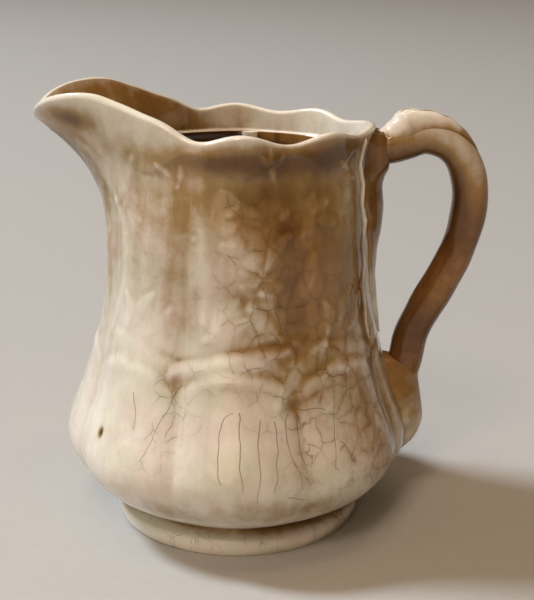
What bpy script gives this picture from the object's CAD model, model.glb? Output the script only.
"""Looks of a relief-moulded earthenware pitcher with a crazed and tea-stained cream glaze.

The pieces follow the CAD frame: two pressed body halves, base disc, foot ring, rim collar, pouring spout,
handle strap with its thumb rest and two leaves, and the two rolls of clay inside the body's seams.
Sizes are millimetres until a mesh is made. Azimuth is counted in degrees from the front (-Y), seen from
above: -90 is the spout, +90 the handle.
"""

import math

import bpy
import numpy as np
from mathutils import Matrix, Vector


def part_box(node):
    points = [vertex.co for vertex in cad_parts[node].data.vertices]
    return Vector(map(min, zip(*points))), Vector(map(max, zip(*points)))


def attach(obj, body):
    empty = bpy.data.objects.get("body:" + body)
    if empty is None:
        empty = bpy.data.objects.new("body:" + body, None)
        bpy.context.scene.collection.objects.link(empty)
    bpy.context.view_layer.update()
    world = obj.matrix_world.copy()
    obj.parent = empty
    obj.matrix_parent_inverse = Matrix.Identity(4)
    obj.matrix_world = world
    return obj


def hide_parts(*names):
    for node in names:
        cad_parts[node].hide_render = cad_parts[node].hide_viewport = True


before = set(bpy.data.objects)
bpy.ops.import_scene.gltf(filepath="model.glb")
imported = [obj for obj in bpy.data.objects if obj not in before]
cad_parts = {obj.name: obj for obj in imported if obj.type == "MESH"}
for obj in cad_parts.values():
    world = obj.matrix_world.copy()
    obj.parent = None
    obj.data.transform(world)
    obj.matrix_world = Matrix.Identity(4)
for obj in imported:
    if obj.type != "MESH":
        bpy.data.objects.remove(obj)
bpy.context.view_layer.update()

bl_info = {
    "name": "Moulded earthenware pitcher",
    "version": (1, 0, 0),
    "blender": (4, 5, 0),
    "location": "View3D > Sidebar > Pitcher",
    "description": "Builds a crazed cream pitcher with its foot, rim, spout and handle",
    "category": "Add Mesh",
}

MM = 0.001


def frame_mm(node, corner, axis):
    """One coordinate of a frame node's box in millimetres; corner 0 is the low one."""
    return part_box(node)[corner][axis] / MM


# ---------- sizes taken from the frame ----------
AXIS_X = 0.5 * (frame_mm("foot_ring", 0, 0) + frame_mm("foot_ring", 1, 0))
FOOT_TOP = frame_mm("base_disc", 0, 2)
DISC_TOP = frame_mm("base_disc", 1, 2)
COLLAR_JOINT = frame_mm("body_half_spout_side", 1, 2)
LEAF_TOP = frame_mm("handle_top_leaf", 1, 2)
LEAF_FACE = frame_mm("handle_top_leaf", 1, 0) - AXIS_X

# ---------- the vessel's own shape ----------
SPOUT_AZIMUTH = -90.0
HANDLE_AZIMUTH = 90.0
SEAM_AZIMUTH = -7.5
LOBES = 8
LOBE_PITCH = 360 / LOBES
BELLY_LOBE_DEPTH = 0.036
NECK_LOBE_DEPTH = 0.02
LEDGE_HEIGHT = 162.7
LEDGE_WIDTH = 2.6
FLOOR_CORNER = 16.0  # below this height the inside is a plain tube for the base disc
RIM_WALL = 3.8
RIM_NOSE = 1.5
RIM_MIDDLE_HEIGHT = 174.1
LIP_BASE = 51.0
SPOUT_REACH = 33.4
SPOUT_HALF_ANGLE = 47.5
DEGREE_MM = 1.05  # arc on the wall for one degree, about the same from belly to rim

OUTER_PROFILE = (
    (11, 47.4), (12.4, 51.2), (14.6, 56.4), (18, 62), (22.5, 67.5), (28, 72), (34, 74.8),
    (40, 75.3), (46, 73.8), (53, 71.1), (62, 67.3), (76, 62.9), (92, 59.3), (108, 57.1),
    (124, 56.2), (138, 54.6), (149, 52.3), (158.5, 50.5), (166, 50), (196, 50),
)
INNER_PROFILE = (
    (11, 43), (16, 43), (19.5, 52.6), (25, 61.6), (32, 67.8), (40, 70), (47, 68.8), (55, 65.4),
    (64, 61.6), (78, 57.3), (94, 53.8), (110, 51.7), (126, 50.8), (142, 48.4), (152, 46.2),
    (158.5, 45),
)
# the spout's two wings: degrees away from its tip, rise above the level rim
WING_RISE = (
    (0, 3.2), (8, 9), (17, 13.6), (25, 15), (32, 12.2), (44, 6.2), (56, 3.4), (62, 1.8), (68, 0.5), (74, 0),
)
FOOT_SECTION = (
    (45.6, 0), (52.2, 0), (53.6, 1.2), (54.1, 3.6), (53.7, 6.4), (52.4, 7.6), (49.2, 8.7), (47.4, 11),
    (40, 11), (40.8, 5), (43.4, 1.2),
)


def smooth_step(low, high, value):
    """0 up to the first level, 1 from the second on, and an even slope between."""
    t = np.clip((np.asarray(value, float) - low) / (high - low), 0, 1)
    return t * t * (3 - 2 * t)


def table_value(rows, x):
    """Smooth curve through the rows of a table, for uneven steps."""
    places, values = np.array(rows, float).T
    x = np.asarray(x, float)
    slopes = np.empty_like(values)
    slopes[1:-1] = (values[2:] - values[:-2]) / (places[2:] - places[:-2])
    slopes[0] = (values[1] - values[0]) / (places[1] - places[0])
    slopes[-1] = (values[-1] - values[-2]) / (places[-1] - places[-2])
    i = np.clip(np.searchsorted(places, x) - 1, 0, len(places) - 2)
    span = places[i + 1] - places[i]
    t = np.clip((x - places[i]) / span, 0, 1)
    return (
        (2 * t**3 - 3 * t**2 + 1) * values[i]
        + (t**3 - 2 * t**2 + t) * span * slopes[i]
        + (3 * t**2 - 2 * t**3) * values[i + 1]
        + (t**3 - t**2) * span * slopes[i + 1]
    )


def mound(value, middle, half_width, power=2):
    """1 at the middle, falling away to nothing on both sides; a higher power has a flatter top."""
    return np.exp(-(np.abs((np.asarray(value, float) - middle) / half_width) ** power))


def turn_from(azimuth, direction):
    """Degrees between two directions round the vessel, never more than 180."""
    return np.abs((np.asarray(azimuth, float) - direction + 180) % 360 - 180)


def spout_share(azimuth):
    """1 in the middle of the spout, 0 well away from it."""
    return mound(turn_from(azimuth, SPOUT_AZIMUTH), 0, 38, 3)


def handle_share(azimuth):
    """1 behind the handle, 0 well away from it."""
    return mound(turn_from(azimuth, HANDLE_AZIMUTH), 0, 32, 3)


def valley_share(azimuth):
    """0 on the crest of a lobe, 1 in the valley between two lobes."""
    return (turn_from(np.asarray(azimuth) * LOBES, 0) / 180) ** 2


def lobe_depth(height):
    """How deep the valleys between two lobes are, as a share of the radius."""
    belly = BELLY_LOBE_DEPTH * smooth_step(8, 30, height) * (1 - smooth_step(55, 88, height))
    neck = NECK_LOBE_DEPTH * smooth_step(55, 88, height) * (1 - 0.6 * smooth_step(130, 160, height))
    return belly + neck


def scallop(azimuth):
    """Waves of the rim, one over each lobe, worn softer at the back and left out at the spout."""
    worn_back = 1 - 0.4 * smooth_step(110, 150, turn_from(azimuth, 0))
    wave = np.cos(np.radians(LOBES * np.asarray(azimuth, float)))
    return worn_back * wave * (1 - spout_share(azimuth))


def lip_radius(azimuth):
    reach = SPOUT_REACH * mound(turn_from(azimuth, SPOUT_AZIMUTH), 0, 28.5, 2.2)
    return LIP_BASE + 1.4 * scallop(azimuth) + reach + 4.8 * handle_share(azimuth)


def rim_height(azimuth):
    crest = 1.9 * scallop(azimuth) * (1 - 0.6 * handle_share(azimuth))
    wing = table_value(WING_RISE, turn_from(azimuth, SPOUT_AZIMUTH))
    towards_spout = 0.02 * lip_radius(azimuth) * np.sin(np.radians(-np.asarray(azimuth)))
    towards_front = 0.7 * np.cos(np.radians(azimuth))
    return RIM_MIDDLE_HEIGHT + crest + wing + towards_spout + towards_front


def lip_height(azimuth):
    """The lip's outer edge sits a little lower than its top, most of all on the flat spout tip."""
    return rim_height(azimuth) - 1.6 - 2.2 * spout_share(azimuth)


def outer_radius(azimuth, height):
    spout = spout_share(azimuth)
    grip = handle_share(azimuth)
    narrow = table_value(OUTER_PROFILE, height)
    wide = np.where(np.asarray(height) > 100, np.maximum(narrow, 56.6), narrow)
    neck = narrow + (wide - narrow) * np.maximum(spout, 0.5 * grip)
    wall = neck * (1 - lobe_depth(height) * valley_share(azimuth))
    start = 148 - 20 * spout
    rise = np.clip((height - start) / (lip_height(azimuth) - start), 0, 1)
    return wall + (lip_radius(azimuth) - wall) * rise ** (1.8 + 0.7 * spout)


def wall_thickness(height):
    return table_value(OUTER_PROFILE, height) - table_value(INNER_PROFILE, height)


def inner_radius(azimuth, height):
    thinned = outer_radius(azimuth, height) - wall_thickness(height)
    return np.where(np.asarray(height) <= FLOOR_CORNER, INNER_PROFILE[0][1], thinned)


# ---------- moulded relief ----------
# Each row: its line as azimuth and height, its half width, its rise, and the depth of its vein as a share of
# the rise. The garland, the sprays and the pendants repeat every quarter turn.
QUARTER = 90.0
GARLAND = (
    (((-60, 91.5), (-48, 90), (-38, 88), (-28, 84.5)), 4.2, 0.28, 0),
    (((-27, 82.5), (-17, 85), (-8, 86.8), (0, 88), (10, 90), (18, 92)), 4.6, 0.8, 0),
    (((-58, 95), (-43, 93), (-34, 90.5), (-25, 87.6)), 2.2, -0.25, 0),
    (((-25, 87.6), (-14, 90.2), (-7, 92.2), (-1, 93.6), (14, 95.8)), 2.2, -0.3, 0),
    (((13, 72), (18, 78), (25, 86), (35, 93.5)), 4.4, 0.55, 0.2),
    (((22, 95.5), (28, 93), (34, 89), (40, 83)), 4.4, 0.42, 0.2),
    (((20, 74), (30, 79), (43, 80.5)), 3.6, 0.4, 0.2),
    (((-28, 80), (-36, 83), (-46, 84), (-55, 83)), 3.4, 0.5, 0.2),
    (((-14, 97), (-5, 100), (2, 105)), 3.4, 0.45, 0.2),
    (((15, 97), (8, 104), (3, 111)), 3.4, 0.5, 0.2),
    (((37, 97), (39, 103), (36, 109)), 3.2, 0.5, 0.2),
    (((-40, 96), (-34, 101), (-30, 107)), 3.0, 0.35, 0.2),
)
NECK_SPRAY = (
    (((-15, 104), (-14, 119), (-16, 130), (-17, 140)), 3.6, 0.35, 0),
    (((8, 117), (8, 124)), 3.4, 0.35, 0.2),
    (((9, 116), (15.5, 118)), 3.4, 0.35, 0.2),
    (((9, 115), (12.5, 109.5)), 3.4, 0.35, 0.2),
    (((7, 115), (3, 110)), 3.4, 0.35, 0.2),
    (((6.5, 116.5), (0.5, 119)), 3.4, 0.35, 0.2),
    (((10, 126), (13, 133), (20, 138)), 2.8, 0.45, 0.3),
    (((5, 126), (-1, 132), (-8, 134)), 3.4, 0.3, 0.3),
    (((-2, 113), (-8, 108), (-10, 101)), 2.8, 0.4, 0.3),
    (((26, 114), (29, 121), (31, 129)), 3.6, 0.35, 0.3),
    (((31, 146), (33, 152)), 3.0, 0.35, 0.2),
    (((33, 146), (40, 149)), 3.0, 0.35, 0.2),
    (((32, 144), (27, 138)), 3.0, 0.35, 0.2),
    (((35, 143), (43, 141)), 2.8, 0.35, 0.2),
    (((17, 145), (20, 147)), 2.4, 0.35, 0),
    (((52, 112), (46, 106), (43, 99)), 2.8, 0.4, 0.3),
    (((-20, 136), (-20, 136.8)), 1.6, 0.4, 0),
    (((-6, 146), (0, 149), (6, 147)), 2.6, 0.3, 0.2),
)
RIM_PENDANTS = (
    (((12.5, 171), (13, 166), (14, 160)), 2.0, 0.45, 0),
    (((9, 169), (11, 165.5)), 1.8, 0.35, 0),
    (((18.5, 168.5), (16, 165)), 1.8, 0.35, 0),
    (((-28, 164), (-28, 158.5)), 1.8, 0.3, 0),
    (((-29, 156), (-29, 155.2)), 1.3, 0.35, 0),
    (((50, 164), (56, 160)), 1.6, 0.4, 0),
)
# under the spout, mirrored about its middle: degrees away from the spout tip instead of azimuth
SPOUT_LEAVES = (
    (((14, 166), (19, 156), (26, 146)), 3.4, 0.4, 0),
    (((38, 165), (33, 155), (26, 146)), 3.4, 0.35, 0),
    (((26, 146), (32, 138), (35, 126), (34, 113), (29, 103), (24, 92)), 3.8, 0.55, 0),
    (((0, 170), (0, 150), (0, 128)), 4.0, 0.8, 0.3),
    (((3, 150), (9, 157), (12, 168)), 3.4, 0.5, 0.3),
    (((3, 134), (10, 141), (15, 151)), 3.4, 0.5, 0.3),
    (((2, 120), (8, 126), (16, 132)), 3.2, 0.45, 0.3),
)
# beside the handle's top leaf, mirrored: degrees away from the handle's middle
HANDLE_RIBBON = (
    (
        (18, 169), (21.5, 160), (18.5, 151), (22, 143), (19.5, 135), (24, 127), (21.5, 118), (25.5, 110),
        (23, 101), (25, 94), (23.5, 87),
    ),
    1.8, 1.0, 0,
)


def drawn_line(azimuth, height, row, repeat=360.0):
    """Height in millimetres of one soft ridge (or groove) pressed along a line, tapering to its ends."""
    points, half_width, rise, vein = row
    middle = 0.5 * (points[0][0] + points[-1][0])
    across = ((azimuth - middle + repeat / 2) % repeat - repeat / 2) * DEGREE_MM
    line = [((a - middle) * DEGREE_MM, z) for a, z in points]
    lengths = [math.dist(p, q) for p, q in zip(line, line[1:])]
    nearest = np.full(np.shape(across), 1e9)
    along = np.zeros(np.shape(across))
    done = 0.0
    for (x0, z0), (x1, z1), length in zip(line, line[1:], lengths):
        dx, dz = x1 - x0, z1 - z0
        t = np.clip(((across - x0) * dx + (height - z0) * dz) / length**2, 0, 1)
        gap = (across - x0 - t * dx) ** 2 + (height - z0 - t * dz) ** 2
        closer = gap < nearest
        nearest = np.where(closer, gap, nearest)
        along = np.where(closer, (done + t * length) / sum(lengths), along)
        done += length
    width = half_width * (0.45 + 0.55 * np.sin(np.pi * np.clip(along, 0, 1)))
    crown = np.exp(-nearest / width**2)
    return rise * (crown - vein * np.exp(-nearest / (0.3 * width) ** 2))


def belly_arches(azimuth, height):
    """Pad of each belly lobe, ending at the top in an arch, with a groove between neighbours."""
    half_pitch = LOBE_PITCH / 2
    share = np.abs((azimuth + 2.5 + half_pitch) % LOBE_PITCH - half_pitch) / half_pitch
    arch = 83.5 - 8.5 * share**2.4
    below = smooth_step(-2.6, 2.6, arch - height)
    faded = smooth_step(26, 62, height)
    pad = 1.1 * below * (1 - share**3) * faded
    bead = 0.1 * mound(height, arch - 2.8, 2.2) * (1 - share**6)
    groove = -0.3 * mound(share * half_pitch, half_pitch, 4.2) * smooth_step(24, 48, height)
    return pad + bead + groove * (1 - smooth_step(74, 84, height))


KILN_PIT = (-54, 52)  # azimuth and height of a small hole left in the glaze by the kiln
KILN_PIT_DEPTH = 0.7

# where thick glaze drowns the relief: azimuth, height, half extent in azimuth, half extent in height, share
DROWNED = (
    (-52, 62, 32, 28, 0.62),
    (-50, 96, 20, 12, 0.45),
    (-58, 140, 24, 26, 0.5),
    (-14, 128, 14, 26, 0.35),
    (40, 88, 22, 14, 0.3),
    (-100, 130, 30, 40, 0.3),
    (188, 105, 56, 60, 0.4),
)


def soft_spots(rows, azimuth, height):
    """Sum of soft oval spots on the wall."""
    total = np.zeros(np.shape(azimuth))
    for middle, level, wide, tall, amount in rows:
        total = total + amount * mound(turn_from(azimuth, middle), 0, wide) * mound(height, level, tall)
    return total


def relief(azimuth, height):
    """Everything that the mould raised on the outside, in millimetres above the plain wall."""
    azimuth, height = np.broadcast_arrays(np.asarray(azimuth, float), np.asarray(height, float))
    away_from_spout = turn_from(azimuth, SPOUT_AZIMUTH)
    away_from_handle = turn_from(azimuth, HANDLE_AZIMUTH)
    open_wall = smooth_step(20, 34, away_from_spout) * smooth_step(12, 22, away_from_handle)
    total = belly_arches(azimuth, height) * smooth_step(10, 20, away_from_handle)
    for row in GARLAND + NECK_SPRAY + RIM_PENDANTS:
        total = total + drawn_line(azimuth, height, row, QUARTER) * open_wall
    for row in SPOUT_LEAVES:
        total = total + drawn_line(away_from_spout, height, row) * smooth_step(60, 44, away_from_spout)
    total = total * (1 - np.clip(soft_spots(DROWNED, azimuth, height), 0, 0.8))
    total = total + drawn_line(away_from_handle, height, HANDLE_RIBBON)
    pit = KILN_PIT_DEPTH * mound(azimuth, KILN_PIT[0], 0.96) * mound(height, KILN_PIT[1], 1.9)
    return total * bpy.context.scene.pitcher_sizes.relief_strength - pit


def pooling(azimuth, height):
    """Positive in hollows, where glaze and stain gather, and negative on crests."""
    around = np.zeros(np.shape(azimuth))
    steps = [(2.8, 0), (-2.8, 0), (0, 2.8), (0, -2.8), (1.9, 1.9), (-1.9, 1.9), (1.9, -1.9), (-1.9, -1.9)]
    for turn, lift in steps:
        around = around + relief(azimuth + turn, height + lift) / len(steps)
    return around - relief(azimuth, height)


# ---------- where the glaze is stained and crazed ----------
# Rows of the three tables: azimuth, height, half extent in azimuth, half extent in height, amount.
STAINS = (
    (8, 142, 26, 20, 0.36),
    (0, 154, 38, 5.5, 0.17),
    (6, 131, 12, 9, -0.19),
    (-18, 125, 9, 12, -0.08),
    (10, 116, 14, 12, 0.14),
    (0, 114, 8, 5, 0.18),
    (0, 166, 62, 6, 0.22),
    (-84, 168, 8, 8, 0.16),
    (-74, 178, 7, 5, 0.5),
    (-70, 159, 13, 9, -0.14),
    (-65, 130, 7, 14, 0.12),
    (46, 126, 22, 38, 0.36),
    (55, 104, 6, 8, 0.14),
    (55, 170, 14, 5, 0.2),
    (20, 122, 7, 26, 0.22),
    (27, 108, 10, 10, 0.13),
    (50, 60, 26, 26, 0.2),
    (22, 98, 16, 10, 0.14),
    (0, 97, 7, 8, 0.13),
    (20, 88, 16, 9, 0.17),
    (27, 75, 8, 8, 0.12),
    (0, 80, 9, 7, 0.12),
    (66, 78, 7, 14, 0.22),
    (-26, 125, 9, 30, 0.19),
    (-25, 102, 7, 5, 0.05),
    (-28, 79, 4, 4, 0.14),
    (18, 71, 4, 4, 0.26),
    (30, 166, 34, 8, 0.3),
    (-12, 165, 18, 5, 0.2),
    (-50, 145, 28, 30, 0.15),
    (2, 25, 44, 8, 0.14),
    (-26, 26, 8, 5, 0.15),
    (3, 33, 10, 5, 0.13),
    (25, 28, 8, 4, 0.1),
    (25, 42, 5, 5, 0.1),
    (60, 42, 9, 7, 0.13),
    (84, 52, 16, 26, 0.24),
    (-40, 138, 14, 22, 0.06),
    (-2, 168, 12, 4, 0.1),
    (-62, 30, 22, 9, -0.1),
    (-76, 125, 8, 34, 0.2),
    (-98, 160, 18, 14, 0.6),
    (62.5, 125, 3.6, 44, 0.3),
    (30, 52, 9, 12, -0.12),
    (-30, 52, 16, 18, -0.09),
    (-50, 48, 24, 24, -0.05),
    (8, 55, 12, 12, -0.07),
    (-6, 86, 12, 4, -0.22),
    (-10, 104, 7, 6, -0.2),
    (-54, 52, 1.6, 2.2, 0.45),
    (150, 130, 40, 34, 0.16),
    (205, 60, 36, 22, 0.12),
    (176, 160, 30, 10, 0.14),
    (235, 105, 14, 30, 0.12),
    (190, 105, 70, 70, 0.08),
)
# where the stain turns to the warm brown of iron
WARM = (
    (34, 118, 22, 34, 0.55),
    (14, 140, 14, 12, 0.3),
    (14, 92, 12, 14, 0.35),
    (54, 54, 18, 20, 0.45),
    (20, 72, 8, 6, 0.4),
    (0, 30, 22, 8, 0.3),
    (-26, 104, 6, 10, 0.3),
    (160, 110, 40, 40, 0.5),
)
# where the net of craze lines shows
CRAZED = (
    (18, 92, 30, 30, 1.0),
    (45, 58, 26, 32, 0.85),
    (5, 140, 26, 26, 0.55),
    (-28, 60, 14, 22, 0.5),
    (-40, 150, 22, 14, 0.25),
    (150, 100, 46, 44, 0.9),
    (215, 60, 30, 30, 0.7),
)
MARKS = ("stain", "warmth", "pooling", "crazing")


def glaze_marks(stain, warmth, pooled, crazing):
    """What the finishes read at each point of a piece; one number stands for the whole piece."""
    return dict(zip(MARKS, (stain, warmth, pooled, crazing)))


def wall_stain(azimuth, height):
    return 0.16 + soft_spots(STAINS, azimuth, height)


def wall_marks(azimuth, height):
    """The marks of the outside wall at each point."""
    warmth = 0.05 + soft_spots(WARM, azimuth, height)
    crazing = 0.12 + soft_spots(CRAZED, azimuth, height)
    return glaze_marks(wall_stain(azimuth, height), warmth, pooling(azimuth, height), crazing)


# ---------- meshes ----------
def place(azimuth, radius, height):
    """Points in metres from their directions, distances from the vessel's axis and heights."""
    turn, radius, height = np.broadcast_arrays(np.radians(azimuth), radius, height)
    return np.stack([AXIS_X + radius * np.sin(turn), -radius * np.cos(turn), height], axis=-1) * MM


def unit(vectors):
    lengths = np.linalg.norm(vectors, axis=-1, keepdims=True)
    return vectors / np.maximum(lengths, 1e-12)


def skin(name, outlines, marks, material, corners=(), ring=False, spare_ends=False):
    """Skins a row of equal closed outlines into one closed mesh with smooth shading normals.

    Corners are the numbers of outline points that stay sharp. With spare_ends the first and last outlines
    only steer the shading of the ends, so that two pieces meet without a visible step, and aren't built.
    """
    marks = {key: np.broadcast_to(value, outlines.shape[:2]) for key, value in marks.items()}
    if ring:
        along = np.roll(outlines, -1, 0) - np.roll(outlines, 1, 0)
    else:
        along = np.gradient(outlines, axis=0)
    sharp = np.zeros(outlines.shape[1], bool)
    sharp[list(corners)] = True
    sharp = sharp[None, :, None]
    ahead = np.roll(outlines, -1, 1) - outlines
    behind = outlines - np.roll(outlines, 1, 1)
    leaving = unit(np.cross(along, np.where(sharp, ahead, ahead + behind)))
    arriving = unit(np.cross(along, np.where(sharp, behind, ahead + behind)))
    if spare_ends:
        outlines, leaving, arriving = outlines[1:-1], leaving[1:-1], arriving[1:-1]
        marks = {key: values[1:-1] for key, values in marks.items()}
    count, size = outlines.shape[:2]
    points = outlines.reshape(-1, 3)
    row = np.arange(count if ring else count - 1)[:, None] * size
    next_row = (row + size) % (count * size)
    spot = np.arange(size)[None, :]
    next_spot = (spot + 1) % size
    quads = np.stack([row + spot, next_row + spot, next_row + next_spot, row + next_spot], axis=-1)
    quads = quads.reshape(-1, 4)
    leaving, arriving = leaving.reshape(-1, 3), arriving.reshape(-1, 3)
    normals = np.stack(
        [leaving[quads[:, 0]], leaving[quads[:, 1]], arriving[quads[:, 2]], arriving[quads[:, 3]]], axis=1
    )
    ends = [] if ring else [np.arange(size), np.arange(size)[::-1] + (count - 1) * size]
    volume = 0.0
    for group in [quads] + [end[None, :] for end in ends]:
        for k in range(1, group.shape[1] - 1):
            a, b, c = points[group[:, 0]], points[group[:, k]], points[group[:, k + 1]]
            volume += np.einsum("ij,ij->", a, np.cross(b, c))
    if volume < 0:
        quads, normals = quads[:, ::-1], -normals[:, ::-1]
        ends = [end[::-1] for end in ends]
    mesh = bpy.data.meshes.new(name)
    mesh.from_pydata(points.tolist(), [], quads.tolist() + [end.tolist() for end in ends])
    mesh.polygons.foreach_set("use_smooth", [True] * len(quads) + [False] * len(ends))
    flat = np.zeros((sum(len(end) for end in ends), 3))
    mesh.normals_split_custom_set(np.concatenate([normals.reshape(-1, 3), flat]).tolist())
    for key, values in marks.items():
        attribute = mesh.attributes.new(key, "FLOAT", "POINT")
        attribute.data.foreach_set("value", np.asarray(values, np.float32).ravel())
    mesh.materials.append(material)
    piece = bpy.data.objects.new(name, mesh)
    bpy.context.scene.collection.objects.link(piece)
    return piece


def settle(piece, node):
    """Ties a finished piece to the frame: it rides with the pitcher and stands for one frame node."""
    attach(piece, "root")
    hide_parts(node)


def smooth_loop(points, between):
    """Rounds a closed outline: Catmull-Rom through its points, with some steps between two points."""
    points = np.array(points, float)
    before, after, later = np.roll(points, 1, 0), np.roll(points, -1, 0), np.roll(points, -2, 0)
    rows = []
    for k in range(between):
        t = k / between
        rows.append(
            0.5 * (2 * points + (after - before) * t + (2 * before - 5 * points + 4 * after - later) * t**2
                   + (3 * points - before - 3 * after + later) * t**3)
        )
    return np.stack(rows, axis=1).reshape(-1, 2)


def sweep(start, end, columns):
    """Evenly spaced azimuths from start to end, with one spare beyond each end."""
    return start + (end - start) / columns * np.arange(-1, columns + 2)


# ---------- body ----------
def body_half(name, start, end):
    """One pressed half of the body wall, relief outside and a plainer skin inside."""
    azimuths = sweep(start, end, 240)
    outside_levels = np.linspace(FOOT_TOP, COLLAR_JOINT, 205)
    corner_levels = [18.2, 17, FLOOR_CORNER, 14, FOOT_TOP]
    inside_levels = np.concatenate([np.linspace(COLLAR_JOINT, 20, 54), corner_levels])
    a_out, z_out = np.meshgrid(azimuths, outside_levels, indexing="ij")
    a_in, z_in = np.meshgrid(azimuths, inside_levels, indexing="ij")
    outside = place(a_out, outer_radius(a_out, z_out) + relief(a_out, z_out), z_out)
    inside = place(a_in, inner_radius(a_in, z_in), z_in)
    outside_marks = wall_marks(a_out, z_out)
    drips = 0.1 * np.sin(np.radians(a_in) * 7) * smooth_step(60, 150, z_in)
    tide = 0.34 * smooth_step(62, 30, turn_from(a_in, 215))
    inside_marks = glaze_marks(0.66 + drips + tide, 0.5, 0.0, 0.25)
    marks = {}
    for key in MARKS:
        inside_values = np.broadcast_to(inside_marks[key], a_in.shape)
        marks[key] = np.concatenate([outside_marks[key], inside_values], axis=1)
    outlines = np.concatenate([outside, inside], axis=1)
    inner_corner = len(outside_levels)
    corners = (0, inner_corner - 1, inner_corner, outlines.shape[1] - 1)
    return skin(name, outlines, marks, glazed_material(WALL_GLAZE), corners, spare_ends=True)


# ---------- rim ----------
# outline points of the rim's section: up the outside, round the nose of the lip, down the inside, and the
# two runs of the ledge below it
RIM_OUTSIDE_POINTS = 34
RIM_NOSE_POINTS = 11
RIM_INSIDE_POINTS = 26
RIM_INSIDE_START = RIM_OUTSIDE_POINTS + RIM_NOSE_POINTS
RIM_LEDGE_START = RIM_INSIDE_START + RIM_INSIDE_POINTS
LEDGE_TOP_SHARES = (0.25, 0.5, 0.75)
LEDGE_FACE_SHARES = (0, 0.5, 1)


def rim_section(azimuth):
    """Radius and height of each outline point at one azimuth."""
    top = float(lip_height(azimuth))
    spout = float(spout_share(azimuth))
    grip = float(handle_share(azimuth))
    petal_edge = 164 - 4.4 * math.cos(math.radians(LOBES * azimuth))
    rise = 0.8 * (1 - spout) * (1 - grip)

    def outer_at(height):
        raised = smooth_step(petal_edge - 1.3, petal_edge + 1.3, height)
        raised = raised * (1 - smooth_step(petal_edge, top, height))
        return outer_radius(azimuth, height) + relief(azimuth, height) + rise * raised

    out_z = np.linspace(COLLAR_JOINT, top, RIM_OUTSIDE_POINTS)
    outside = np.stack([outer_at(out_z), out_z], axis=1)
    shares = np.linspace(0, 1, 60)
    heights = COLLAR_JOINT + (top - COLLAR_JOINT) * shares
    skin_r = outer_radius(azimuth, heights)
    slope = (skin_r - outer_radius(azimuth, heights - 0.5)) / 0.5
    length = np.hypot(1, slope)
    lean = smooth_step(0, 0.45, shares)
    joint_thickness = float(wall_thickness(COLLAR_JOINT))
    thick = RIM_WALL + (joint_thickness - RIM_WALL) * spout * (1 - smooth_step(0, 0.6, shares))
    in_r = skin_r - thick * ((1 - lean) + lean / length)
    in_z = heights + thick * lean * slope / length
    floor = (float(outer_radius(azimuth, COLLAR_JOINT)) - joint_thickness, COLLAR_JOINT)
    ledge = LEDGE_HEIGHT + 0.4
    first = int(np.argmax(in_z > ledge + 0.8))
    spots = np.linspace(first, len(shares) - 1, RIM_INSIDE_POINTS)
    whole = np.arange(len(shares))
    wall = np.stack([np.interp(spots, whole, in_r), np.interp(spots, whole, in_z)], axis=1)[::-1]
    lower = (min(floor[0] + 0.2 + 6 * spout, wall[-1][0] - 0.3), ledge - 0.9)
    upper = (min(lower[0] + 0.4 + LEDGE_WIDTH * (1 - spout), wall[-1][0] - 0.05), ledge)
    end, start = outside[-1], wall[0]
    middle, chord = (end + start) / 2, end - start
    reach = math.hypot(*chord)
    outward = np.array([-chord[1], chord[0]]) / reach
    angles = np.linspace(0, np.pi, RIM_NOSE_POINTS + 2)[1:-1, None]
    nose = middle + chord * 0.5 * np.cos(angles) + outward * RIM_NOSE * np.sin(angles)
    ledge_points = []
    for share in LEDGE_TOP_SHARES:
        ledge_points.append(np.array(wall[-1]) * (1 - share) + np.array(upper) * share)
    for share in LEDGE_FACE_SHARES:
        ledge_points.append(np.array(upper) * (1 - share) + np.array(lower) * share)
    return np.concatenate([outside, nose, wall, ledge_points, [floor]])


def rim_marks(azimuths, sections):
    """Marks for the collar and the spout: the outside as on the wall, the lip pale, the inside warmer."""
    a = np.repeat(np.asarray(azimuths)[:, None], sections.shape[1], axis=1)
    z = sections[..., 1]
    marks = wall_marks(a, z)
    point = np.arange(sections.shape[1])[None, :]
    inside = (point >= RIM_INSIDE_START) * 1.0
    lip = mound(point, RIM_OUTSIDE_POINTS + RIM_NOSE_POINTS // 2, RIM_NOSE_POINTS / 2)
    depth = np.clip((point - RIM_INSIDE_START) / (RIM_INSIDE_POINTS - 1), 0, 1)
    shelf = mound(point, RIM_LEDGE_START + 2.5, 2.2, 4)
    below_shelf = point >= RIM_LEDGE_START + len(LEDGE_TOP_SHARES) + 2
    bands = depth * smooth_step(0.5, 1, np.cos(np.radians(a * 23)) * np.cos(np.radians(a * 9 + 50)))
    past_seam = (a - SEAM_AZIMUTH) % 360 - 180
    golden = 0.2 * smooth_step(-14, 6, past_seam) + 0.18 * smooth_step(14, 36, past_seam)
    inner_stain = (0.06 + golden + 0.1 * bands + 0.06 * depth) * (1 - shelf)
    inner_stain = inner_stain + below_shelf * (0.5 + 0.3 * smooth_step(-6, 6, past_seam))
    inside_marks = glaze_marks(inner_stain, 0.8, 0.0, 0.35)
    for key in MARKS:
        marks[key] = marks[key] * (1 - inside) + inside_marks[key] * inside
    marks["stain"] = marks["stain"] - 0.16 * lip
    marks["pooling"] = marks["pooling"] - 0.35 * lip
    return marks


def rim_piece(name, start, end):
    """The collar or the spout: a length of rim swept round the vessel."""
    azimuths = sweep(start, end, round((end - start) / 0.75))
    sections = np.array([rim_section(a) for a in azimuths])
    outlines = place(azimuths[:, None], sections[..., 0], sections[..., 1])
    corners = (0, sections.shape[1] - 1)
    marks = rim_marks(azimuths, sections)
    return skin(name, outlines, marks, glazed_material(WALL_GLAZE), corners, spare_ends=True)


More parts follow.
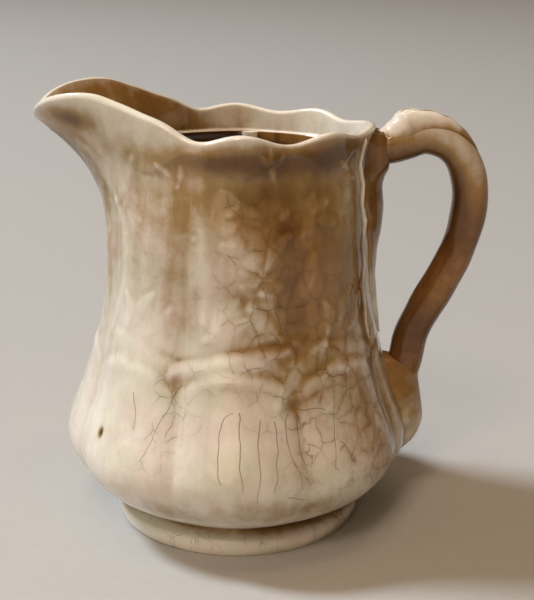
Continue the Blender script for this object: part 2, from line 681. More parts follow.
# ---------- foot and floor of the vessel ----------
def foot_ring():
    """Turned ring that the pitcher stands on, glaze wiped thin over its edges."""
    a = np.arange(0, 360, 1.0)[:, None]
    radius, height = smooth_loop(FOOT_SECTION, 8).T[:, None, :]
    height = np.clip(height, 0, FOOT_TOP)
    height = np.where(height < 0.12, 0, height)
    uneven = 0.12 * np.sin(np.radians(5 * a + 20)) + 0.08 * np.sin(np.radians(11 * a))
    outside = smooth_step(47, 51, radius) * smooth_step(0, 2, height)
    outlines = place(a, radius + uneven * outside, height)
    worn = smooth_step(1.6, 0.2, height)
    stain = 0.12 + 0.4 * smooth_step(7, 10.5, height) - 0.1 * worn + 0.2 * (radius < 46)
    stain = stain + 0.22 * smooth_step(80, 20, turn_from(a, 80))
    stain = stain - 0.2 * smooth_step(60, 10, turn_from(a, -50))
    pooled = 0.5 * smooth_step(7.5, 9.5, height) - 0.5 * mound(height, 5, 2.4) * outside
    marks = glaze_marks(stain, 0.15, pooled, 0.7)
    ring = skin("foot_ring_turned", outlines, marks, glazed_material(FOOT_GLAZE), ring=True)
    settle(ring, "foot_ring")


def base_disc():
    """Floor of the vessel: slightly domed inside with throwing rings, recessed underneath."""
    edge = 43.1
    rings = [(0.5, FOOT_TOP + 0.35)]
    for radius in np.linspace(3, edge - 1, 30):
        rings.append((radius, FOOT_TOP + 0.35 * (1 - (radius / edge) ** 2)))
    rings += [(edge - 0.3, FOOT_TOP + 0.1), (edge, FOOT_TOP + 0.6)]
    rings += [(edge, DISC_TOP + 0.6), (edge - 0.4, DISC_TOP + 1)]
    for radius in np.linspace(edge - 2, 3, 54):
        swell = 0.9 * math.exp(-((edge - radius) / 4.5)) - 0.12 * math.cos(radius * 2 * math.pi / 5.4)
        rings.append((radius, DISC_TOP - 0.3 + swell))
    rings.append((0.5, DISC_TOP - 0.4))
    radius, height = np.array(rings).T[:, :, None]
    outlines = place(np.arange(0, 360, 3.0)[None, :], radius, height)
    marks = glaze_marks(0.42 + 0.2 * mound(radius, 38, 6), 0.3, 0.0, 0.6)
    disc = skin("base_disc_domed", outlines, marks, glazed_material(WALL_GLAZE))
    settle(disc, "base_disc")


# ---------- handle ----------
# the strap's centre line; its first and last points lie inside the leaves, so that it grows out of them
HANDLE_PATH = (
    (56.5, 162.6), (63.5, 164), (70.5, 165.9), (79, 168.2), (88.4, 165.2), (95.4, 157.3), (98.8, 146),
    (98.6, 134), (94.9, 119), (88.2, 104.3), (81, 91), (76.2, 80), (74.4, 70), (72.9, 61), (70.5, 53),
)
STRAP_HALF_THICKNESS = 7.5
STRAP_HALF_WIDTH_TOP = 7.2
STRAP_HALF_WIDTH_FOOT = 6.4


def handle_line(shares):
    """Centre and outward direction of the strap at shares of its length between the leaves' faces.

    Shares below 0 and above 1 lie inside the leaves.
    """
    x, z = np.array(HANDLE_PATH, float).T
    chord = np.concatenate([[0], np.cumsum(np.hypot(np.diff(x), np.diff(z)))])
    fine = np.linspace(0, chord[-1], 600)
    fx = table_value(list(zip(chord, x)), fine)
    fz = table_value(list(zip(chord, z)), fine)
    run = np.concatenate([[0], np.cumsum(np.hypot(np.diff(fx), np.diff(fz)))])
    first, last = np.interp([chord[1], chord[-3]], fine, run)
    spots = first + np.asarray(shares) * (last - first)
    tx = np.interp(spots, run, np.gradient(fx, run))
    tz = np.interp(spots, run, np.gradient(fz, run))
    size = np.hypot(tx, tz)
    return np.interp(spots, run, fx), np.interp(spots, run, fz), -tz / size, tx / size


def oval(angle, outward_half, side_half):
    """Outward and sideways parts of the strap's round-cornered section."""
    c, s = np.cos(angle), np.sin(angle)
    return np.sign(c) * np.abs(c) ** 0.86 * outward_half, np.sign(s) * np.abs(s) ** 0.86 * side_half


def handle_points(shares, out, side):
    x, z, out_x, out_z = (value[:, None] for value in handle_line(shares))
    return np.stack([AXIS_X + x + out * out_x, side, z + out * out_z], axis=-1) * MM


def handle_strap():
    """Pulled loop of clay with a soft rib down its back and swollen, luted ends."""
    shares = np.linspace(-0.04, 1.09, 200)
    angles = np.linspace(0, 2 * np.pi, 56, endpoint=False)
    s, angle = shares[:, None], angles[None, :]
    out, side = oval(angle, STRAP_HALF_THICKNESS, 1.0)
    half_width = STRAP_HALF_WIDTH_TOP + (STRAP_HALF_WIDTH_FOOT - STRAP_HALF_WIDTH_TOP) * s
    swell = 1 - 0.1 * smooth_step(1.0, 1.08, s) - 0.12 * smooth_step(0.0, -0.04, s)
    hand = (0.18 * np.sin(s * 19) + 0.1 * np.sin(s * 41 + 1)) * smooth_step(1, 0.9, s)
    rib = 0.3 * (mound(angle, 0, 0.3) + mound(angle, 2 * np.pi, 0.3))
    shoulders = -0.12 * (mound(angle, 0.75, 0.22) + mound(angle, 2 * np.pi - 0.75, 0.22))
    out = out * swell + (rib + shoulders) * smooth_step(0.2, 0.34, s) + hand * np.cos(angle)
    side = side * (half_width + 0.5 * hand) * swell
    outlines = handle_points(shares, out, side)
    inner = smooth_step(0.2, -0.8, np.cos(angle))
    stain = 0.66 + 0.12 * inner + 0.08 * np.sin(s * 13 + 2)
    stain = stain - 0.34 * mound(s, 0.12, 0.2) * smooth_step(-0.8, 0.5, np.cos(angle))
    stain = stain - 0.16 * mound(s, 0.34, 0.1) * (1 - inner) - 0.1 * mound(s, 1, 0.12)
    marks = glaze_marks(stain, 0.35 + 0.6 * smooth_step(0.1, 0.6, s), -0.25 * rib - 0.4 * shoulders, 0.1)
    strap = skin("handle_strap_pulled", outlines, marks, glazed_material(HANDLE_GLAZE))
    settle(strap, "handle_strap")


def thumb_rest():
    """Leaf-shaped rest for the thumb: two rounded lobes with a groove between, tapering down the strap."""
    # share of the strap's length, then the height over the strap and the angle covered to each side
    lifts = (
        (-0.03, 0.3), (-0.01, 1.2), (0.02, 3.1), (0.047, 5.3), (0.068, 6.5), (0.083, 6.8), (0.1, 5.7),
        (0.12, 4.4), (0.155, 3.3), (0.19, 2.4), (0.225, 1.5), (0.275, 0.4),
    )
    spreads = (
        (-0.03, 0.8), (0.0, 1.0), (0.04, 1.2), (0.07, 1.25), (0.095, 1.2), (0.12, 1.1), (0.16, 0.95),
        (0.2, 0.75), (0.24, 0.5), (0.275, 0.2),
    )
    shares = np.linspace(lifts[0][0], lifts[-1][0], 64)[:, None]
    lift = table_value(lifts, shares)
    spread = table_value(spreads, shares)
    under = np.linspace(-1, 1, 16)[None, :]
    over = np.linspace(0.96, -0.96, 40)[None, :]
    half = STRAP_HALF_WIDTH_TOP - 0.2 * shares
    low_out, low_side = oval(spread * under, STRAP_HALF_THICKNESS - 0.6, half - 0.3)
    top_out, top_side = oval(spread * over, STRAP_HALF_THICKNESS, half)
    groove = 0.22 * mound(over, 0, 0.16) * smooth_step(0.04, 0.1, shares)
    veins = 0.05 * np.cos(np.abs(over) * 9 - shares * 150)
    crown = (1 - np.abs(over) ** 2.2) * (1 + veins) - groove
    out = np.concatenate([low_out, top_out + lift * crown - 0.3], axis=1)
    side = np.concatenate([low_side, top_side * (1 + 0.1 * (lift / 7) * (1 - over**4))], axis=1)
    outlines = handle_points(shares[:, 0], out, side)
    edges = np.concatenate([np.ones_like(under), np.abs(over) ** 3.5], axis=1)
    stain = 0.13 + 0.22 * smooth_step(0.08, 0.26, shares) + 0.46 * edges
    pooled = np.concatenate([np.zeros_like(low_out), groove * 5 - 0.25 * (lift > 2)], axis=1)
    marks = glaze_marks(stain, 0.3, pooled, 0.1)
    rest = skin("thumb_rest_lobed", outlines, marks, glazed_material(HANDLE_GLAZE))
    settle(rest, "thumb_rest")


def wall_leaf(rows, levels, scallop_length, moulding, flat_face=math.inf):
    """Outlines of a leaf luted on the wall under the handle, and where the glaze pools on it.

    Rows hold height, half width, thickness, edge and steepness of the sides. Moulding is the share of the
    veins and scallops, one number for each level. The leaf is pressed flat at flat_face from the axis.
    """
    z = levels[:, None]
    heights, *columns = zip(*rows)
    half_width, thickness, edge, steep = (table_value(list(zip(heights, column)), z) for column in columns)
    shown = moulding[:, None]
    wave = 1 + 0.06 * shown * np.cos(2 * np.pi * z / scallop_length)
    spread = np.degrees(half_width * wave / outer_radius(HANDLE_AZIMUTH, z))
    under = np.linspace(-1, 1, 30)[None, :]
    over = np.linspace(0.99, -0.99, 76)[None, :]
    in_azimuth, out_azimuth = HANDLE_AZIMUTH + spread * under, HANDLE_AZIMUTH + spread * over
    inner = place(in_azimuth, outer_radius(in_azimuth, z) - 0.9, z)
    vein = -0.4 * shown * mound(over, 0, 0.07) * smooth_step(1, 3, thickness)
    slant = np.cos(2 * np.pi * (z + 9 * np.abs(over)) / scallop_length)
    side_veins = 0.25 * shown * slant * (1 - over**2) * np.abs(over)
    border = 0.35 * shown * mound(np.abs(over), 0.84, 0.1)
    crown = edge * (1 - over**6) + (thickness - edge) * (1 - over**2) ** steep + vein + side_veins + border
    outer = place(out_azimuth, outer_radius(out_azimuth, z) + crown - 0.6 * over**8, z)
    soft = 0.8
    beyond = np.maximum(outer[..., 0] / MM - AXIS_X - flat_face + soft, 0)
    outer[..., 0] -= (beyond - soft * (1 - np.exp(-beyond / soft))) * MM
    outlines = np.concatenate([inner, outer], axis=1)
    pools = np.concatenate([np.zeros_like(in_azimuth), -0.8 * (vein + side_veins) - 0.5 * border], axis=1)
    return outlines, pools


def leaf_marks(outlines, levels, pools, stain, fade):
    """Stained like the wall below the fade's two levels, and in the handle's own brown above them."""
    azimuth = np.degrees(np.arctan2(outlines[..., 0] / MM - AXIS_X, -outlines[..., 1] / MM))
    own = smooth_step(*fade, levels)[:, None]
    blended = wall_stain(azimuth, levels[:, None]) * (1 - own) + stain * own
    return glaze_marks(blended, 0.1 + 0.6 * own, pools, 0.25)


def top_leaf():
    """Leaf that carries the top of the handle down the neck."""
    rows = (
        (82, 3, 0.9, 0.5, 1.1), (92, 8, 1.9, 0.7, 1.1), (108, 12.5, 2.4, 0.9, 1.1), (119, 15, 3.2, 1, 1.2),
        (128, 17, 4.9, 1.0, 1.5), (138, 18, 6.4, 0.9, 2), (147, 18.5, 6.6, 0.8, 2.3),
        (152, 18, 8.2, 0.7, 2.6), (156, 17, 10.8, 0.6, 2.8), (160, 16, 12, 0.6, 3),
        (165, 15, 11.4, 0.6, 3), (168, 13.5, 9.4, 0.5, 2.6), (LEAF_TOP, 11, 5, 0.3, 2),
    )
    levels = np.linspace(rows[0][0], LEAF_TOP, 130)
    outlines, pools = wall_leaf(rows, levels, 13.0, smooth_step(158, 140, levels), LEAF_FACE)
    marks = leaf_marks(outlines, levels, pools, 0.66, (85, 135))
    leaf = skin("handle_top_leaf_veined", outlines, marks, glazed_material(HANDLE_GLAZE))
    settle(leaf, "handle_top_leaf")


def foot_leaf():
    """Leaf that spreads the handle's foot over the belly."""
    rows = (
        (23, 3.5, 0.8, 0.4, 1), (27, 8, 3, 0.4, 1), (32, 12, 5.4, 0.5, 1.1), (38, 14.5, 7.2, 0.5, 1.3),
        (45, 15, 8.8, 0.5, 1.5), (53, 13.2, 10.6, 0.6, 1.4), (60, 10.4, 12.4, 0.8, 1.1),
        (65, 8.2, 14, 1.0, 0.8), (68, 7.2, 12.6, 1.0, 0.7), (69.6, 6.4, 8.6, 0.9, 0.8),
        (70.6, 5.4, 3.6, 0.6, 1),
    )
    levels = np.concatenate([np.linspace(rows[0][0], 66, 86), np.linspace(66.3, rows[-1][0], 16)])
    outlines, pools = wall_leaf(rows, levels, 11.0, smooth_step(62, 48, levels))
    marks = leaf_marks(outlines, levels, pools, 0.54, (34, 76))
    leaf = skin("handle_foot_leaf_veined", outlines, marks, glazed_material(HANDLE_GLAZE))
    settle(leaf, "handle_foot_leaf")


def seam_roll(name, azimuth, top):
    """Roll of clay pressed with a finger into an inner seam of the body."""
    levels = np.linspace(FLOOR_CORNER + 0.6, top, 120)[:, None]
    z = np.minimum(levels, COLLAR_JOINT)
    presses = 0.28 * np.sin(levels * 2 * np.pi / 9.5) + 0.12 * np.sin(levels * 2 * np.pi / 4.1 + 1)
    spread = np.degrees((3.7 + 0.3 * presses) / inner_radius(azimuth, z))
    under = np.linspace(-1, 1, 10)[None, :]
    over = np.linspace(0.97, -0.97, 22)[None, :]
    low = place(azimuth + spread * under, inner_radius(azimuth + spread * under, z) + 0.4, levels)
    proud = (2.4 + presses) * (1 - over**2) ** 0.8 + 0.15
    high = place(azimuth + spread * over, inner_radius(azimuth + spread * over, z) - proud, levels)
    outlines = np.concatenate([low, high], axis=1)
    marks = glaze_marks(0.02, 0.3, -0.3 * presses, 0.2)
    settle(skin(f"{name}_pressed", outlines, marks, glazed_material(WALL_GLAZE)), name)


# ---------- finishes ----------
# lead-clear glaze over pressed earthenware: cream clouded with tea brown, wet shine, brown hairlines
WALL_GLAZE = "Crazed cream glaze on pressed earthenware"
# the same glaze on pulled clay, soaked with tea: warm brown, darkest in the hollows, with few hairlines
HANDLE_GLAZE = "Tea-stained brown glaze"
# glaze wiped thin over turned clay: duller than the wall, buff where it is worn, darker under the body
FOOT_GLAZE = "Thin worn glaze on buff clay"


def linear(code):
    """Linear colour of an sRGB hex code."""
    parts = [int(code[k : k + 2], 16) / 255 for k in (1, 3, 5)]
    return tuple(c / 12.92 if c <= 0.04045 else ((c + 0.055) / 1.055) ** 2.4 for c in parts)


def add(tree, kind, inputs=None, output=0, **settings):
    """Adds a shader node with its settings; inputs are values or sockets. Returns one output socket."""
    node = tree.nodes.new("ShaderNode" + kind)
    for key, value in settings.items():
        setattr(node, key, value)
    for key, value in (inputs or {}).items():
        if isinstance(value, bpy.types.NodeSocket):
            tree.links.new(value, node.inputs[key])
        else:
            node.inputs[key].default_value = value
    return node.outputs[output]


# cracks that run down the front: azimuth and height of the top, the same of the bottom, and the bow between
LONG_CRACKS = (
    (-1.5, 70, -6.5, 43, -4.5),
    (-0.8, 70, -1.0, 40, 0.4),
    (7, 67, 4.5, 35, -0.8),
    (11, 66, 10.5, 39, 0.6),
    (16.5, 68, 20.5, 38, -2.4),
    (20, 66, 22, 44, -0.8),
    (31, 66, 31.5, 44, 2.4),
    (-22, 78, -34, 47, -2.0),
    (-43, 72, -39, 58, 0.8),
    (8, 118, 11, 110, 0.6),
    (13, 109, 15.5, 101, 0.6),
)
# short cracks across them: azimuth from, azimuth to, height from, height to
CROSS_CRACKS = ((14, 21, 35.5, 33.5), (20, 31, 68.5, 66.5))

# real sizes of what the glaze shows, in millimetres
CELL_MM = 7.5  # usual distance between two craze lines
FINE_CELL_MM = 3.4
CLOUD_MM = 30.0
DRIFT_MM = 19.0
CRACK_BEND_MM = 12.0
SURFACE_SWELL_MM = 11.0
LINE_WANDER_MM = 9.0
MOTTLE_MM = 7.0
STREAK_MM = 6.0
GRAIN_MM = 1.6
# a real craze line is under 0.1 mm wide; it is drawn two to three times as wide so that it shows
LINE_HALF_MM = 0.11
GLAZE_IOR = 1.5


def belly_crack_lines(tree, azimuth, height, wobble):
    """Mask of the long cracks: for each point the strongest of them all."""
    strongest = 0.0
    for top_a, top_z, low_a, low_z, bow in LONG_CRACKS:
        share = add(tree, "MapRange", {0: height, 1: top_z, 2: low_z, 3: 0.0, 4: 1.0}, clamp=True)
        straight = add(tree, "MapRange", {0: share, 1: 0.0, 2: 1.0, 3: top_a, 4: low_a}, clamp=True)
        arc = add(tree, "Math", {0: share, 1: 0.5}, operation="POWER")
        arc = add(tree, "Math", {0: arc, 1: math.pi}, operation="MULTIPLY")
        arc = add(tree, "Math", {0: arc}, operation="SINE")
        middle = add(tree, "Math", {0: arc, 1: bow, 2: straight}, operation="MULTIPLY_ADD")
        middle = add(tree, "Math", {0: middle, 1: wobble}, operation="ADD")
        gap = add(tree, "Math", {0: azimuth, 1: middle}, operation="SUBTRACT")
        gap = add(tree, "Math", {0: gap}, operation="ABSOLUTE")
        width = add(tree, "MapRange", {0: share, 1: 0.0, 2: 1.0, 3: 0.16, 4: 0.07}, clamp=True)
        line = add(tree, "Math", {0: width, 1: gap}, operation="SUBTRACT")
        line = add(tree, "MapRange", {0: line, 1: -0.12, 2: 0.06, 3: 0.0, 4: 1.0}, clamp=True)
        inside = add(tree, "Math", {0: share, 1: 0.5, 2: 0.497}, operation="COMPARE")
        line = add(tree, "Math", {0: line, 1: inside}, operation="MULTIPLY")
        strongest = add(tree, "Math", {0: strongest, 1: line}, operation="MAXIMUM")
    for from_a, to_a, from_z, to_z in CROSS_CRACKS:
        share = add(tree, "MapRange", {0: azimuth, 1: from_a, 2: to_a, 3: 0.0, 4: 1.0}, clamp=True)
        level = add(tree, "MapRange", {0: share, 1: 0.0, 2: 1.0, 3: from_z, 4: to_z}, clamp=True)
        level = add(tree, "Math", {0: wobble, 1: 1.4, 2: level}, operation="MULTIPLY_ADD")
        gap = add(tree, "Math", {0: height, 1: level}, operation="SUBTRACT")
        gap = add(tree, "Math", {0: gap}, operation="ABSOLUTE")
        line = add(tree, "MapRange", {0: gap, 1: 0.12, 2: 0.32, 3: 0.8, 4: 0.0}, clamp=True)
        inside = add(tree, "Math", {0: share, 1: 0.5, 2: 0.49}, operation="COMPARE")
        line = add(tree, "Math", {0: line, 1: inside}, operation="MULTIPLY")
        strongest = add(tree, "Math", {0: strongest, 1: line}, operation="MAXIMUM")
    return strongest


def craze_net(tree, place_mm, cell, half_width):
    """Mask of the thin lines between cells of a craze net, and a wide soft halo beside them."""
    edge = add(
        tree, "TexVoronoi", {"Vector": place_mm, "Scale": 1 / cell, "Randomness": 0.9}, output="Distance",
        feature="DISTANCE_TO_EDGE",
    )
    solid, clear = 0.5 * half_width / cell, 1.6 * half_width / cell
    line = add(tree, "MapRange", {0: edge, 1: solid, 2: clear, 3: 1.0, 4: 0.0})
    halo = add(tree, "MapRange", {0: edge, 1: 0.0, 2: 0.2, 3: 1.0, 4: 0.0})
    return line, halo


def glazed_material(name):
    """One of the three glazes, coloured by the piece's stain, warmth and pooling and crazed by its crazing.

    The eye gets a cream body that turns tea-brown where the glaze pooled, pale worn crests, a net of brown
    hairlines and a wet shine that wobbles with the uneven surface.
    """
    if name in bpy.data.materials:
        return bpy.data.materials[name]
    colours = bpy.context.scene.pitcher_colours
    material = bpy.data.materials.new(name)
    material.use_nodes = True
    tree = material.node_tree
    tree.nodes.clear()
    point = add(tree, "TexCoord", output="Object")
    place_mm = add(tree, "VectorMath", {0: point, "Scale": 1 / MM}, operation="SCALE")
    marks = [add(tree, "Attribute", output="Fac", attribute_name=key) for key in MARKS]
    stain, warmth, pool, crazing = marks
    drawn_out = add(tree, "VectorMath", {0: place_mm, 1: (1.0, 1.0, 0.14)}, operation="MULTIPLY")
    patterns = (
        (place_mm, CLOUD_MM, 3.0, 0.55), (place_mm, MOTTLE_MM, 4.0, 0.6), (place_mm, GRAIN_MM, 2.0, 0.6),
        (drawn_out, STREAK_MM, 3.0, 0.5),
    )
    noises = []
    for vector, size_mm, detail, roughness in patterns:
        inputs = {"Vector": vector, "Scale": 1 / size_mm, "Detail": detail, "Roughness": roughness}
        noises.append(add(tree, "TexNoise", inputs))
    cloud, mottle, grain, streaks = noises

    inputs = {"Vector": place_mm, "Scale": 1 / LINE_WANDER_MM, "Detail": 2.0}
    wander = add(tree, "TexNoise", inputs, output="Color")
    wander = add(tree, "VectorMath", {0: wander, 1: (0.5, 0.5, 0.5)}, operation="SUBTRACT")
    wander = add(tree, "VectorMath", {0: wander, "Scale": 5.0}, operation="SCALE")
    cracked = add(tree, "VectorMath", {0: place_mm, 1: wander}, operation="ADD")
    cracked = add(tree, "VectorMath", {0: cracked, 1: (1.0, 1.0, 0.8)}, operation="MULTIPLY")
    net, halo = craze_net(tree, cracked, CELL_MM, LINE_HALF_MM)
    fine, _ = craze_net(tree, cracked, FINE_CELL_MM, LINE_HALF_MM * 0.8)
    crazed = add(tree, "Math", {0: cloud, 1: 0.9, 2: crazing}, operation="MULTIPLY_ADD")
    seen = add(tree, "MapRange", {0: crazed, 1: 0.72, 2: 1.3, 3: 0.0, 4: 1.0}, clamp=True)
    broken = add(tree, "MapRange", {0: mottle, 1: 0.46, 2: 0.56, 3: 0.12, 4: 1.0}, clamp=True)
    lines = add(tree, "Math", {0: net, 1: seen}, operation="MULTIPLY")
    lines = add(tree, "Math", {0: lines, 1: broken}, operation="MULTIPLY")
    fine_seen = add(tree, "MapRange", {0: crazed, 1: 1.1, 2: 1.8, 3: 0.0, 4: 0.25}, clamp=True)
    fine_lines = add(tree, "Math", {0: fine, 1: fine_seen}, operation="MULTIPLY")
    fine_lines = add(tree, "Math", {0: fine_lines, 1: broken}, operation="MULTIPLY")
    lines = add(tree, "Math", {0: lines, 1: fine_lines}, operation="MAXIMUM")
    if name == WALL_GLAZE:
        height = add(tree, "SeparateXYZ", {0: place_mm}, output=2)
        x_mm, y_mm = height.node.outputs[:2]
        sideways = add(tree, "Math", {0: x_mm, 1: AXIS_X}, operation="SUBTRACT")
        forward = add(tree, "Math", {0: y_mm, 1: -1.0}, operation="MULTIPLY")
        azimuth = add(tree, "Math", {0: sideways, 1: forward}, operation="ARCTAN2")
        azimuth = add(tree, "Math", {0: azimuth, 1: 180 / math.pi}, operation="MULTIPLY")
        bend = add(tree, "TexNoise", {"Vector": place_mm, "Scale": 1 / CRACK_BEND_MM, "Detail": 1.0})
        wobble = add(tree, "Math", {0: bend, 1: 4.0, 2: -2.0}, operation="MULTIPLY_ADD")
        drawn = belly_crack_lines(tree, azimuth, height, wobble)
        lines = add(tree, "Math", {0: lines, 1: drawn}, operation="MAXIMUM")

    soaked = add(tree, "Math", {0: halo, 1: seen}, operation="MULTIPLY")
    shares = ((pool, 0.45), (cloud, 0.3), (mottle, 0.24), (streaks, 0.2), (grain, 0.06), (soaked, 0.06))
    depth = stain
    for darkening, share in shares:
        depth = add(tree, "Math", {0: darkening, 1: share, 2: depth}, operation="MULTIPLY_ADD")
    depth = add(tree, "Math", {0: depth, 1: 0.4}, operation="SUBTRACT")
    shades = []
    for light_stain, dark_stain in ((colours.tan, colours.brown), (colours.amber, colours.chestnut)):
        shade = add(tree, "ValToRGB", {0: depth})
        elements = shade.node.color_ramp.elements
        tones = (colours.crest, colours.cream, light_stain, dark_stain, colours.deep)
        while len(elements) < len(tones):
            elements.new(0.5)
        for element, position, tone in zip(elements, (0.0, 0.22, 0.45, 0.72, 1.0), tones):
            element.position = position
            element.color = (*tone, 1.0)
        shades.append(shade)
    shade = add(tree, "Mix", {0: warmth, 6: shades[0], 7: shades[1]}, output=2, data_type="RGBA")
    drift = add(tree, "TexNoise", {"Vector": place_mm, "Scale": 1 / DRIFT_MM, "Detail": 2.0})
    drift = add(tree, "MapRange", {0: drift, 1: 0.38, 2: 0.62, 3: 0.0, 4: 1.0}, clamp=True)
    casts = {0: drift, 6: (*colours.olive_cast, 1.0), 7: (*colours.rose_cast, 1.0)}
    cast = add(tree, "Mix", casts, output=2, data_type="RGBA")
    shade = add(tree, "Mix", {0: 1.0, 6: shade, 7: cast}, output=2, data_type="RGBA", blend_type="MULTIPLY")
    inked = add(tree, "Math", {0: lines, 1: 0.64}, operation="MULTIPLY")
    colour = add(tree, "Mix", {0: inked, 6: shade, 7: (*colours.line, 1.0)}, output=2, data_type="RGBA")

    rough = add(tree, "MapRange", {0: mottle, 1: 0.3, 2: 0.7, 3: 0.06, 4: 0.13}, clamp=True)
    rough = add(tree, "Math", {0: lines, 1: 0.3, 2: rough}, operation="MULTIPLY_ADD")
    if name == FOOT_GLAZE:
        rough = add(tree, "Math", {0: rough, 1: 0.1}, operation="ADD")
    uneven = add(tree, "TexNoise", {"Vector": place_mm, "Scale": 1 / SURFACE_SWELL_MM, "Detail": 1.0})
    rise = add(tree, "Math", {0: grain, 1: 0.05, 2: uneven}, operation="MULTIPLY_ADD")
    rise = add(tree, "Math", {0: lines, 1: -0.25, 2: rise}, operation="MULTIPLY_ADD")
    bump = add(tree, "Bump", {"Height": rise, "Strength": 1.0, "Distance": 0.0003})
    surface = {"Base Color": colour, "Roughness": rough, "Normal": bump, "IOR": GLAZE_IOR}
    glaze = add(tree, "BsdfPrincipled", surface)
    tree.links.new(glaze, tree.nodes.new("ShaderNodeOutputMaterial").inputs["Surface"])
    return material


def floor_material(colour):
    """Matt pale studio paper: even and dry, so the eye stays on the pitcher."""
    material = bpy.data.materials.new("Matt pale paper")
    material.use_nodes = True
    tree = material.node_tree
    shader = tree.nodes["Principled BSDF"]
    point = add(tree, "TexCoord", output="Object")
    place_mm = add(tree, "VectorMath", {0: point, "Scale": 1 / MM}, operation="SCALE")
    fibre = add(tree, "TexNoise", {"Vector": place_mm, "Scale": 1 / 4, "Detail": 5.0, "Roughness": 0.7})
    darker = tuple(0.86 * c for c in colour)
    tone = add(tree, "Mix", {0: fibre, 6: (*darker, 1.0), 7: (*colour, 1.0)}, output=2, data_type="RGBA")
    tree.links.new(tone, shader.inputs["Base Color"])
    shader.inputs["Roughness"].default_value = 0.85
    return material


# ---------- add-on ----------
class PitcherSizes(bpy.types.PropertyGroup):
    """Sizes that a user would change"""

    relief_strength: bpy.props.FloatProperty(
        name="Relief",
        description="How proud the moulded relief stands, as a share of the usual",
        default=1.0,
        min=0.0,
        max=2.0,
        subtype="FACTOR",
    )
    floor_size: bpy.props.FloatProperty(
        name="Floor", description="Half the width of the studio floor", default=40.0, unit="LENGTH",
    )


def colour_property(name, description, code):
    return bpy.props.FloatVectorProperty(
        name=name, description=description, default=linear(code), subtype="COLOR", size=3, min=0.0, max=1.0
    )


class PitcherColours(bpy.types.PropertyGroup):
    """Colours of the glazes and the floor"""

    crest: colour_property("Crest", "Thin glaze on the worn high places", "#f4f1ec")
    cream: colour_property("Cream", "Clean glaze", "#dbd4ca")
    tan: colour_property("Tan", "Lightly stained glaze", "#a38a64")
    brown: colour_property("Brown", "Deeply stained glaze", "#6e5331")
    amber: colour_property("Amber", "Stained glaze on the handle", "#a47b45")
    chestnut: colour_property("Chestnut", "Deep stain on the handle", "#6c4620")
    deep: colour_property("Deep brown", "Stain where the glaze pooled", "#3a2612")
    line: colour_property("Craze line", "Dirt in the craze lines", "#55310b")
    olive_cast: colour_property("Olive cast", "Tint of the glaze's greener clouds", "#f9fbf2")
    rose_cast: colour_property("Rose cast", "Tint of the glaze's pinker clouds", "#fff9f7")
    paper: colour_property("Floor paper", "The studio floor", "#c3c3c3")


class PITCHER_OT_body(bpy.types.Operator):
    """Build the two pressed halves of the body"""

    bl_idname = "pitcher.body"
    bl_label = "Body halves"

    def execute(self, context):
        spout_side = body_half("body_half_spout_side_moulded", SEAM_AZIMUTH - 180, SEAM_AZIMUTH)
        settle(spout_side, "body_half_spout_side")
        handle_side = body_half("body_half_handle_side_moulded", SEAM_AZIMUTH, SEAM_AZIMUTH + 180)
        settle(handle_side, "body_half_handle_side")
        return {"FINISHED"}


class PITCHER_OT_rim(bpy.types.Operator):
    """Build the scalloped rim collar and the pouring spout"""

    bl_idname = "pitcher.rim"
    bl_label = "Rim collar and spout"

    def execute(self, context):
        spout_start, spout_end = SPOUT_AZIMUTH - SPOUT_HALF_ANGLE, SPOUT_AZIMUTH + SPOUT_HALF_ANGLE
        collar = rim_piece("rim_collar_scalloped", spout_end, spout_start + 360)
        settle(collar, "rim_collar")
        spout = rim_piece("pouring_spout_winged", spout_start, spout_end)
        settle(spout, "pouring_spout")
        return {"FINISHED"}


class PITCHER_OT_foot(bpy.types.Operator):
    """Build the foot ring and the base disc"""

    bl_idname = "pitcher.foot"
    bl_label = "Foot ring and base disc"

    def execute(self, context):
        foot_ring()
        base_disc()
        return {"FINISHED"}


class PITCHER_OT_handle(bpy.types.Operator):
    """Build the handle strap and its thumb rest"""

    bl_idname = "pitcher.handle"
    bl_label = "Handle strap and thumb rest"

    def execute(self, context):
        handle_strap()
        thumb_rest()
        return {"FINISHED"}


class PITCHER_OT_leaves(bpy.types.Operator):
    """Build the leaves at the handle's two ends"""

    bl_idname = "pitcher.leaves"
    bl_label = "Handle leaves"

    def execute(self, context):
        top_leaf()
        foot_leaf()
        return {"FINISHED"}


class PITCHER_OT_seam_rolls(bpy.types.Operator):
    """Build the rolls of clay inside the two seams"""

    bl_idname = "pitcher.seam_rolls"
    bl_label = "Inner seam rolls"

    def execute(self, context):
        seam_roll("seam_roll_back", SEAM_AZIMUTH + 180, LEDGE_HEIGHT - 0.3)
        seam_roll("seam_roll_front", SEAM_AZIMUTH, COLLAR_JOINT)
        return {"FINISHED"}


# name, place and aimed height in metres, width in metres, power in watts, tint
ROUND_LIGHTS = (
    ("key_above_left", (-3.5, 0.95, 4.2), 0.09, 1.08, 262.0, "#f2faff"),
    ("front_lamp", (-0.35, -1.2, 1.5), 0.1, 0.5, 9.5, "#ffe4c6"),
    ("front_fill", (-1.2, -4.0, 1.5), 0.07, 2.3, 24.0, "#ffdcb4"),
    ("left_spark", (-0.3, -0.62, 2.1), 0.18, 0.05, 1.4, "#fff0dc"),
    ("right_spark", (0.22, -0.5, 2.1), 0.18, 0.05, 1.2, "#fff0dc"),
)
CEILING_SOFTNESS = 50.0
CAMERA_PLACE = (-0.02286, -0.51986, 0.2583)
CAMERA_TURN = (72.668, -0.551, -2.505)
CAMERA_LENS_MM = 84.07
CAMERA_SENSOR_MM = 36.0


def add_light(name, kind, position, energy, tint):
    data = bpy.data.lights.new(name, kind)
    data.energy = energy
    data.color = linear(tint)
    light = bpy.data.objects.new(name, data)
    light.location = position
    bpy.context.scene.collection.objects.link(light)
    return light


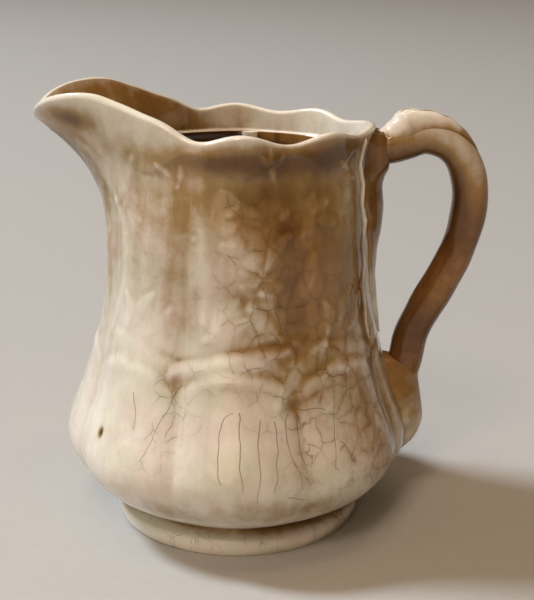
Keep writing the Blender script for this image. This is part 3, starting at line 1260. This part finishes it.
def round_light(name, position, aimed_height, width, power, tint):
    """Round soft light that looks at the pitcher's axis."""
    light = add_light(name, "AREA", position, power, tint)
    light.data.shape = "DISK"
    light.data.size = width
    aim = Vector((0, 0, aimed_height)) - Vector(position)
    light.rotation_euler = aim.to_track_quat("-Z", "Y").to_euler()


class PITCHER_OT_stage(bpy.types.Operator):
    """Build the floor, the soft lights and the camera"""

    bl_idname = "pitcher.stage"
    bl_label = "Studio"

    def execute(self, context):
        scene = context.scene
        half = scene.pitcher_sizes.floor_size
        mesh = bpy.data.meshes.new("studio_floor")
        corners = [(-half, -half, 0), (half, -half, 0), (half, half, 0), (-half, half, 0)]
        mesh.from_pydata(corners, [], [(0, 1, 2, 3)])
        mesh.materials.append(floor_material(tuple(scene.pitcher_colours.paper)))
        floor = bpy.data.objects.new("studio_floor", mesh)
        scene.collection.objects.link(floor)

        for row in ROUND_LIGHTS:
            round_light(*row)
        # a wide light straight above is as strong far away as near, as under a large white ceiling
        ceiling = add_light("ceiling_glow", "SUN", (0, 0, 2.5), 0.5, "#ffd0a0")
        ceiling.data.angle = math.radians(CEILING_SOFTNESS)
        world = bpy.data.worlds.new("Studio air")
        world.use_nodes = True
        background = world.node_tree.nodes["Background"]
        background.inputs["Color"].default_value = (*linear("#f0cd9c"), 1.0)
        background.inputs["Strength"].default_value = 0.09
        scene.world = world
        scene.view_settings.view_transform = "Standard"

        data = bpy.data.cameras.new("camera")
        data.lens = CAMERA_LENS_MM
        data.sensor_width = CAMERA_SENSOR_MM
        data.sensor_fit = "HORIZONTAL"
        camera = bpy.data.objects.new("camera", data)
        camera.location = CAMERA_PLACE
        camera.rotation_euler = [math.radians(turn) for turn in CAMERA_TURN]
        scene.collection.objects.link(camera)
        scene.camera = camera
        return {"FINISHED"}


OPERATORS = (
    PITCHER_OT_body, PITCHER_OT_rim, PITCHER_OT_foot, PITCHER_OT_handle, PITCHER_OT_leaves,
    PITCHER_OT_seam_rolls, PITCHER_OT_stage,
)


class PITCHER_PT_tools(bpy.types.Panel):
    """Lists the pitcher's pieces, sizes and colours"""

    bl_idname = "PITCHER_PT_tools"
    bl_label = "Earthenware pitcher"
    bl_space_type = "VIEW_3D"
    bl_region_type = "UI"
    bl_category = "Pitcher"

    def draw(self, context):
        for group in (context.scene.pitcher_sizes, context.scene.pitcher_colours):
            for key in group.__annotations__:
                self.layout.prop(group, key)
        for operator in OPERATORS:
            self.layout.operator(operator.bl_idname)


CLASSES = (PitcherSizes, PitcherColours) + OPERATORS + (PITCHER_PT_tools,)


def register():
    for item in CLASSES:
        bpy.utils.register_class(item)
    bpy.types.Scene.pitcher_sizes = bpy.props.PointerProperty(type=PitcherSizes)
    bpy.types.Scene.pitcher_colours = bpy.props.PointerProperty(type=PitcherColours)


def unregister():
    del bpy.types.Scene.pitcher_colours
    del bpy.types.Scene.pitcher_sizes
    for item in reversed(CLASSES):
        bpy.utils.unregister_class(item)


def main():
    register()
    bpy.ops.pitcher.body()
    bpy.ops.pitcher.rim()
    bpy.ops.pitcher.foot()
    bpy.ops.pitcher.handle()
    bpy.ops.pitcher.leaves()
    bpy.ops.pitcher.seam_rolls()
    bpy.ops.pitcher.stage()


if __name__ == "__main__":
    main()
